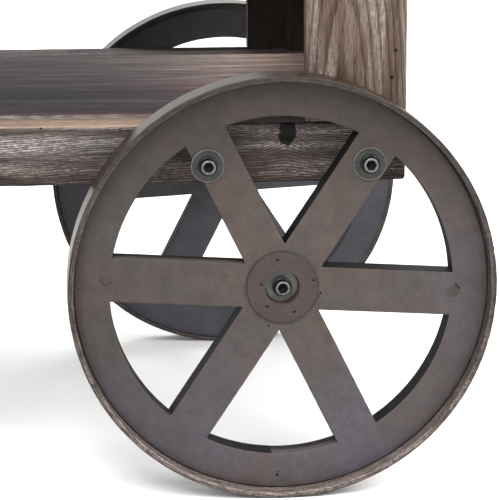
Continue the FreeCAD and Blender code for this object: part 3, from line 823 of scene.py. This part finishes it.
def spoked_plate():
    """Points (x, depth, z), quads and parts of the plate with a spoke along x."""
    sector = list(half_sector())
    patches = []
    for spoke in range(SPOKES):
        cos, sin = math.cos(SECTOR * spoke), math.sin(SECTOR * spoke)
        for flip in (-1, 1):
            for x, y, depth, part in sector:
                patch = np.zeros(x.shape + (3,))
                patch[..., 0] = x * cos - y * flip * sin
                patch[..., 1] = depth
                patch[..., 2] = x * sin + y * flip * cos
                patches.append((patch, part))
    return weld(patches)


def plate(name, side):
    """The painted plate of a wheel, turned to its rest angle, with sawn walls and dents."""
    seed = WHEEL_SEEDS[name]
    cos, sin = math.cos(TURNS[name]), math.sin(TURNS[name])
    points, quads, parts = spoked_plate()
    x, depth, z = points.T
    right, up = x * cos - z * sin, x * sin + z * cos
    local = np.stack([right, depth, up], axis=1)
    normals = point_normals(local, quads)
    walls = smooth(depth, 0.5 * MM, 2 * MM) * smooth(thickness - depth, 0.5 * MM, 2 * MM)
    radius = np.hypot(right, up)
    free = smooth(plate_radius - radius, 1 * MM, 8 * MM) * smooth(radius - POCKET, 1 * MM, 6 * MM)
    sawn = fractal(local, (260, 90, 260), seed) - 0.5
    dents = smooth(fractal(local, 45, seed + 3, 2), 0.72, 0.86)
    waves = fractal(local, 12, seed + 6, 2) - 0.5
    nicks = smooth(fractal(local, 95, seed + 9, 2), 0.74, 0.9)
    shift = walls * 0.7 * MM * sawn + (1 - walls) * (0.3 * MM * waves)
    local = local + normals * (shift * free)[:, None]
    sunk = (0.5 * MM * dents + 0.7 * MM * nicks) * (1 - walls) * free
    local[:, 1] += np.where(depth < thickness / 2, sunk, -sunk)
    world = np.stack([wheel_x + local[:, 0], side * (plate_out[1] - local[:, 1]),
                      wheel_z + local[:, 2]], axis=1)

    # Painted light and shade in tone: darker at the top and lighter towards the bottom, a painted
    # shade by the band with a dark painted shadow line at its step, and a painted shade on the
    # left, away from the light.
    tone = 0.56 + 0.44 * smooth(-up, -0.23, -0.06) + 0.1 * smooth(-up, 0.02, 0.2)
    tone = tone * (1 - 0.22 * smooth(radius, plate_radius - 10 * MM, plate_radius - 1 * MM))
    tone = tone * (1 - 0.6 * smooth(radius, plate_radius - 2.5 * MM, plate_radius - 1 * MM))
    tone = tone * (1 - 0.18 * smooth(-right, 0.0, 0.2))
    cool = 0.12 + 0.88 * smooth(-up, -0.02, 0.2) + 0.6 * smooth(right, 0.13, 0.24)
    # Painted light on walls that face up, strongest near the face and fading into painted shade
    # deeper in the window.
    painted_light = smooth(normals[:, 2], 0.6, 0.92) * (1.5 - 1.3 * smooth(depth, 3 * MM, 22 * MM))
    new_piece("wheel_plate_%s_painted" % name, world, quads,
              [WHEEL_FACE, WHEEL_WALL, WHEEL_INSIDE], "wheel_" + name, "wheel_paint",
              ("wheel_plate_" + name,), parts,
              {"tone": tone, "cool": np.clip(cool, 0, 1), "painted_light": painted_light})


def band(name, side):
    """The worn band of a wheel, pitted and chipped where it stands clear of the plate."""
    seed = WHEEL_SEEDS[name]
    profile = rounded_profile(plate_radius, band_radius, *band_out, BAND_ROUND, BAND_PITCH)
    points, quads = turned(profile, BAND_SEGMENTS, wheel_centre, side, loop=True)
    normals = point_normals(points, quads)
    offset = points - hub
    radial = np.hypot(offset[:, 0], offset[:, 2])
    out, down = np.abs(points[:, 1]), -offset[:, 2]
    exposed = smooth(radial, plate_radius + 0.2 * MM, plate_radius + 1 * MM)
    pitted = fractal(offset, 170, seed + 12) - 0.5
    hammer = fractal(offset, 40, seed + 15, 2) - 0.5
    chips = smooth(fractal(offset, 75, seed + 18, 2), 0.7, 0.82)
    at_edge = smooth(out, band_out[1] - 4 * MM, band_out[1] - 1 * MM)
    shift = -0.25 * MM + 0.45 * MM * pitted + 0.5 * MM * hammer - 1.0 * MM * chips * at_edge
    points = points + normals * (np.minimum(shift, 0.0) * exposed)[:, None]

    tread = smooth(radial, band_radius - 1.6 * MM, band_radius - 0.9 * MM)
    tone = 0.24 + 0.18 * smooth(down, -0.2, 0.0) + 0.76 * smooth(down, 0.0, 0.24)
    tone = tone * (1 - 0.6 * smooth(radial, band_radius - 2.2 * MM, band_radius - 1.2 * MM))
    # Painted highlight: a lighter line along the lip's inner edge, by the step to the plate.
    tone = tone * (1.5 - 0.5 * smooth(radial, plate_radius + 1 * MM, plate_radius + 2.4 * MM))
    around = np.arctan2(offset[:, 2], offset[:, 0])
    hoop = np.stack([np.cos(around) * band_radius, np.sin(around) * band_radius,
                     4 * (radial + out)], axis=1)
    new_piece("tyre_band_%s_worn" % name, points, quads, [BAND_IRON], "wheel_" + name,
              "band_iron", ("tyre_band_" + name,),
              attributes={"tread": tread, "tone": tone, "hoop": hoop})


def disc(name, side):
    """The hub disc of a wheel, with its five cut marks."""
    rows = [(POCKET, disc_out[0]), (POCKET, disc_out[1] - DISC_BORE_ROUND),
            (POCKET + DISC_BORE_ROUND, disc_out[1])]
    rows += [(radius * MM, disc_out[1]) for radius in np.arange(21.4, 42.0, 0.5)]
    rows += rounded_edge(disc_radius, disc_out[1], DISC_ROUND, (0, 22, 45, 68, 90))
    rows += [(disc_radius, disc_out[0])]
    points, quads = turned(rows, DISC_SEGMENTS, wheel_centre, side, loop=True)
    across, rise = points[:, 0] - wheel_x, points[:, 2] - wheel_z
    top = smooth(np.abs(points[:, 1]), disc_out[1] - 0.6 * MM, disc_out[1] - 0.1 * MM)
    sink = 0.25 * MM * fractal(np.stack([across, rise, rise * 0], 1), 120,
                               WHEEL_SEEDS[name] + 25)
    for dash_x, dash_z in DASHES:
        way = np.array([-dash_z, dash_x]) / math.hypot(dash_x, dash_z)
        dx, dz = across - dash_x * MM, rise - dash_z * MM
        along = np.abs(dx * way[0] + dz * way[1])
        aside = np.abs(dx * way[1] - dz * way[0])
        gap = np.hypot(np.maximum(along - 1.8 * MM, 0), aside)
        sink = sink + 0.8 * MM * (1 - smooth(gap, 0.5 * MM, 1.3 * MM))
    points[:, 1] -= side * sink * top
    new_piece("hub_disc_%s_plate" % name, points, quads, [HUB_IRON], "wheel_" + name,
              "hub_iron", ("hub_disc_" + name,))


# --- screws and washers ---

HEAD_HEIGHT = 12  # millimetres, as in screw_rows
HEAD_RADIUS = 9 * MM
SOCKET_RADIUS = 5.5 * MM
# A black flange below each screw head: a painted shadow where the head shades its washer.
SHADOW_FLANGE_RADIUS = 11.5 * MM
SHANK = 6 * MM
SCREW_SEGMENTS = 96
KNURLS = 32
KNURL_DEPTH = 0.28 * MM
WASHER_THICK = 3 * MM
WASHER_HOLE = 6.2 * MM
WASHER_ROUND = 0.7 * MM
# Bright steel ring round each washer's edge: a painted highlight.
WASHER_HIGHLIGHT_RIM = 0.62 * MM
WASHER_SEGMENTS = 120
COLLAR_HEIGHT = 6 * MM
COLLAR_SINK = 0.2 * MM
LOCK_WASHER_RADIUS = 19.5 * MM
HUB_WASHER_LAP = 1.2 * MM
HUB_REACH = 30 * MM
LOCK_STOP = 2 * MM
BRIGHT, BLACK, SOCKET, DULL = 0, 1, 2, 3


def screw_rows(seat, reach):
    """Rows (radii, out, part) of a cap screw from its socket's floor to its shank's end."""
    angles = np.arange(SCREW_SEGMENTS) * 2 * math.pi / SCREW_SEGMENTS
    flats = SOCKET_RADIUS / np.cos(angles % SECTOR - SECTOR / 2)
    knurled = HEAD_RADIUS - KNURL_DEPTH * (0.5 + 0.5 * np.cos(angles * KNURLS))
    rows = [(0.0 * flats, -7.5, SOCKET), (0.97 * flats, -6, SOCKET), (flats, -5.7, SOCKET),
            (flats, -0.5, BRIGHT), (flats + 0.4 * MM, 0, DULL), (0.5 * (flats + 8 * MM), 0, DULL),
            (7.1 * MM, 0, BRIGHT), (7.9 * MM, -0.25, BRIGHT), (8.4 * MM, -0.8, BLACK)]
    rows += [(knurled, -drop, BLACK) for drop in np.linspace(1.4, 9.4, 7)]
    # Painted shadow: a black flange round the foot of the head.
    rows += [(SHADOW_FLANGE_RADIUS - 0.5 * MM, -9.8, BLACK), (SHADOW_FLANGE_RADIUS, -10.3, BLACK),
             (SHADOW_FLANGE_RADIUS, -12, BLACK), (SHANK, -12, BLACK)]
    rows = [(radii, seat + (HEAD_HEIGHT + height) * MM, part) for radii, height, part in rows]
    return rows + [(SHANK, seat - reach, BLACK), (0.0, seat - reach, BLACK)]


def fasteners(node, seats, body):
    """Cap screws of one CAD node as one piece: bright top, blackened sides and socket."""
    shapes = []
    for centre, side, seat, reach in seats:
        rows = screw_rows(seat, reach)
        points, quads = turned([row[:2] for row in rows], SCREW_SEGMENTS, centre, side)
        shapes.append((points, quads, np.repeat([row[2] for row in rows[:-1]], SCREW_SEGMENTS)))
    joined(node + "_cap", shapes, [SCREW_STEEL, BLACK_STEEL, SOCKET_STEEL, DULL_STEEL], body,
           "screw_steel", node)


def washers(node, seats, body, radius, steel, collar=0.0):
    """Washers of one CAD node as one piece, with bright steel rims as a painted highlight, and
    maybe a collar.
    """
    shapes = []
    for centre, side, seat in seats:
        top = seat + WASHER_THICK
        profile = rounded_profile(WASHER_HOLE, radius, seat, top, WASHER_ROUND, 1 * MM)
        points, quads = turned(profile, WASHER_SEGMENTS, centre, side, loop=True)
        away = points[quads].mean(axis=1) - (centre[0], 0, centre[1])
        # Painted highlight: the faces at the washer's edge take the bright screw steel.
        rim = np.hypot(away[:, 0], away[:, 2]) > radius - WASHER_HIGHLIGHT_RIM
        shapes.append((points, quads, np.where(rim, 2, 0)))
        if collar:
            profile = rounded_profile(WASHER_HOLE, HEAD_RADIUS, top - COLLAR_SINK, top + collar,
                                      0.5 * MM, 1 * MM)
            points, quads = turned(profile, SCREW_SEGMENTS, centre, side, loop=True)
            shapes.append((points, quads, np.ones(len(quads))))
    joined(node + "_flat", shapes, [steel, BLACK_STEEL, SCREW_STEEL], body, "washer_steel", node)


LOCK_PLACES = {"front": [(-88, 147), (103, 146.5)], "back": [(-98, 150), (76, 150)]}
lock_seat = plate_out[1] + WASHER_THICK
lock_reach = lock_seat - plate_out[0] - LOCK_STOP
for name, side in SIDES.items():
    body = "wheel_" + name
    plate(name, side)
    band(name, side)
    disc(name, side)
    spots = [(wheel_x + x * MM, wheel_z + z * MM) for x, z in LOCK_PLACES[name]]
    washers("spoke_washers_" + name, [(spot, side, plate_out[1]) for spot in spots], body,
            LOCK_WASHER_RADIUS, WASHER_STEEL)
    fasteners("spoke_screws_" + name, [(spot, side, lock_seat, lock_reach) for spot in spots],
              body)
hub_low, hub_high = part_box("hub_washers")
hub_seat = hub_high.y - WASHER_THICK - COLLAR_HEIGHT
washers("hub_washers", [(wheel_centre, side, hub_seat) for side in SIDES.values()], "chassis",
        (hub_high.x - hub_low.x) / 2 + HUB_WASHER_LAP, HUB_STEEL, COLLAR_HEIGHT)
fasteners("hub_screws",
          [(wheel_centre, side, hub_high.y, HUB_REACH) for side in SIDES.values()], "chassis")


# --- plugged screw holes, dents and nails ---

STUD_SEGMENTS = 40
PLUGS = [(-208, 14, 7.5), (205, -9, 7.5)]
SCRATCH = [(207.6 + 0.7 * step, -0.6 - 0.8 * step, 0.8) for step in range(8)]
DENTS = SCRATCH + [(-5.5, -231, 2.0), (-4.5, -227, 1.2), (46, -8, 1.4), (44, -12, 0.9),
                   (-16, -47, 1.3), (-108, 158, 1.1)]
DISC_MARKS = [(x + shift, z, 1.0) for x, z in DASHES for shift in (-1.0, 0.0, 1.0)]
NAILS = [(476, 529, 2.4), (472, 497, 2.4), (57, 442, 1.3), (150, 439, 1.3),
         (476, 900, 2.4), (472, 1500, 2.4)]


def studs(name, places, origin, side, face, foot, proud, material, body, slot):
    """Low round buttons (x, z, radius) in one piece, in millimetres from an origin."""
    shapes = []
    low, high = face - foot * MM, face + proud * MM
    for x, z, radius in places:
        radius = radius * MM
        rows = [(0.0, low), (radius, low), (radius, low + 0.6 * (high - low)),
                (0.8 * radius, low + 0.92 * (high - low)), (0.4 * radius, high), (0.0, high)]
        middle = (origin[0] + x * MM, origin[1] + z * MM)
        points, quads = turned(rows, STUD_SEGMENTS, middle, side)
        shapes.append((points, quads, np.zeros(len(quads))))
    joined(name, shapes, [material], body, slot)


for name, side in SIDES.items():
    for title, places, face, foot, proud, material, slot in (
            ("plugged_holes_", PLUGS, plate_out[1], 1.0, 0.5, HUB_IRON, "wheel_paint"),
            ("dents_", DENTS, plate_out[1], 1.0, 0.3, SOCKET_STEEL, "wheel_paint"),
            ("disc_marks_", DISC_MARKS, disc_out[1], 1.2, 0.1, SOCKET_STEEL, "hub_iron")):
        studs(title + name, places, wheel_centre, side, face, foot, proud, material,
              "wheel_" + name, slot)
studs("frame_nails", NAILS, (0, 0), -1, -rail_low.y, 2.0, 0.3, SOCKET_STEEL, "chassis",
      "bracket_iron")


# --- handle bar ---

BAR_ROUND = 3 * MM
BAR_SEGMENTS = 72
bar_low, bar_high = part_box("handle_bar")
bar_radius = (bar_high.x - bar_low.x) / 2
bar_centre = ((bar_low.x + bar_high.x) / 2, (bar_low.z + bar_high.z) / 2)
bar_end = [((bar_radius - BAR_ROUND) * share, bar_high.y) for share in (0.0, 0.3, 0.6, 1.0)]
bar_end += rounded_edge(bar_radius, bar_high.y, BAR_ROUND, (22, 45, 68, 90))
straight = bar_high.y - 2 * BAR_ROUND
bar_rows = [(radius, -y) for radius, y in bar_end]
bar_rows += [(bar_radius, y) for y in np.linspace(-straight, straight, 120)]
points, quads = turned(bar_rows + bar_end[::-1], BAR_SEGMENTS, bar_centre, 1)
grain = np.stack([points[:, 1], points[:, 0] - bar_centre[0], points[:, 2] - bar_centre[1]],
                 axis=1)
rings = np.hypot(grain[:, 1] - 0.02, grain[:, 2] + 0.03) / (3 * MM)
rings += 0.8 * fractal(grain, (5, 30, 30), 7)
zeros = np.zeros(len(points))
new_piece("handle_bar_turned", points, quads, [WOODS["handle"]], "chassis", "handle_timber",
          ("handle_bar",),
          attributes={"rings": rings, "grain": grain, "tone": zeros + 0.5,
                      **dict.fromkeys(("knot", "worn", "shade", "end"), zeros)})


# --- CAD parts that keep their shape: soft edges and a finish ---

KEPT = {"axle": AXLE_STEEL, "coach_screws": HEX_STEEL, "leg_bolts": HEX_STEEL,
        "leg_glides": GLIDE_PLASTIC}
for name in SIDES:
    KEPT["axle_hanger_" + name] = KEPT["handle_bracket_" + name] = BRACKET_IRON
    KEPT["hub_bush_" + name] = BUSH_BRONZE
for node, material in KEPT.items():
    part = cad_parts[node]
    for slot in part.material_slots:
        slot.material = material
    part.modifiers.new("join", "WELD").merge_threshold = 1e-6
    flat = part.modifiers.new("flatten", "DECIMATE")
    flat.decimate_type = "DISSOLVE"
    flat.angle_limit = math.radians(2)
    bevel = part.modifiers.new("ease", "BEVEL")
    bevel.width = 0.7 * MM
    bevel.segments = 3
    bevel.limit_method = "ANGLE"
    bevel.angle_limit = math.radians(40)


# --- floor, light and camera ---

FLOOR_HALF = 60.0
paper = Graph("floor_paper")
paper_colour = paper.mix(paper.noise(paper.place(), 3), (0.9, 0.9, 0.9), (0.92, 0.92, 0.92))
floor_mesh = bpy.data.meshes.new("floor")
floor_mesh.from_pydata([(x * FLOOR_HALF, y * FLOOR_HALF, 0)
                        for x, y in ((-1, -1), (1, -1), (1, 1), (-1, 1))], [], [(0, 1, 2, 3)])
floor_mesh.materials.append(paper.finish(paper_colour, 0.8, 0.1, share=1.0))
floor = bpy.data.objects.new("floor", floor_mesh)
floor.location.z = cad_box[0].z
link(floor)


def area_light(name, place, target, size, power, spread=180):
    """Soft square light that faces a target, with its beam's spread in degrees."""
    light = bpy.data.lights.new(name, "AREA")
    light.size = size
    light.energy = power
    light.spread = math.radians(spread)
    lamp = bpy.data.objects.new(name, light)
    lamp.location = place
    lamp.rotation_euler = (Vector(target) - Vector(place)).to_track_quat("-Z", "Y").to_euler()
    lamp.visible_camera = False
    link(lamp)


WORLD_STRENGTH = 1.33
area_light("key", (3.2, -2.6, 2.8), hub, 2.2, 170)
area_light("front", (-1.2, -4.6, 4.6), (0, -0.6, 0), 3.0, 420)
area_light("back", (0.6, 3.6, 3.6), hub, 2.0, 90)
area_light("low", (-2.0, -4.0, 1.7), (0.35, 0.2, 0.445), 1.4, 32)
area_light("under_counter", (-1.6, -3.2, 1.45), (0.4, 0.27, 0.445), 0.1, 0.22, 6)

world = bpy.data.worlds.new("studio")
world.use_nodes = True
sky = world.node_tree.nodes["Background"]
sky.inputs["Color"].default_value = (1, 1, 1, 1)
sky.inputs["Strength"].default_value = WORLD_STRENGTH
bpy.context.scene.world = world
bpy.context.scene.view_settings.view_transform = "Standard"

lens = bpy.data.cameras.new("camera")
lens.lens = CAMERA_LENS
lens.clip_start, lens.clip_end = CAMERA_CLIP
camera = bpy.data.objects.new("camera", lens)
camera.location = hub + Vector((0, band_low.y, 0)) + CAMERA_FROM_WHEEL
camera.rotation_euler = (math.pi / 2 - CAMERA_PITCH, 0, -CAMERA_YAW)
link(camera)
bpy.context.scene.camera = camera
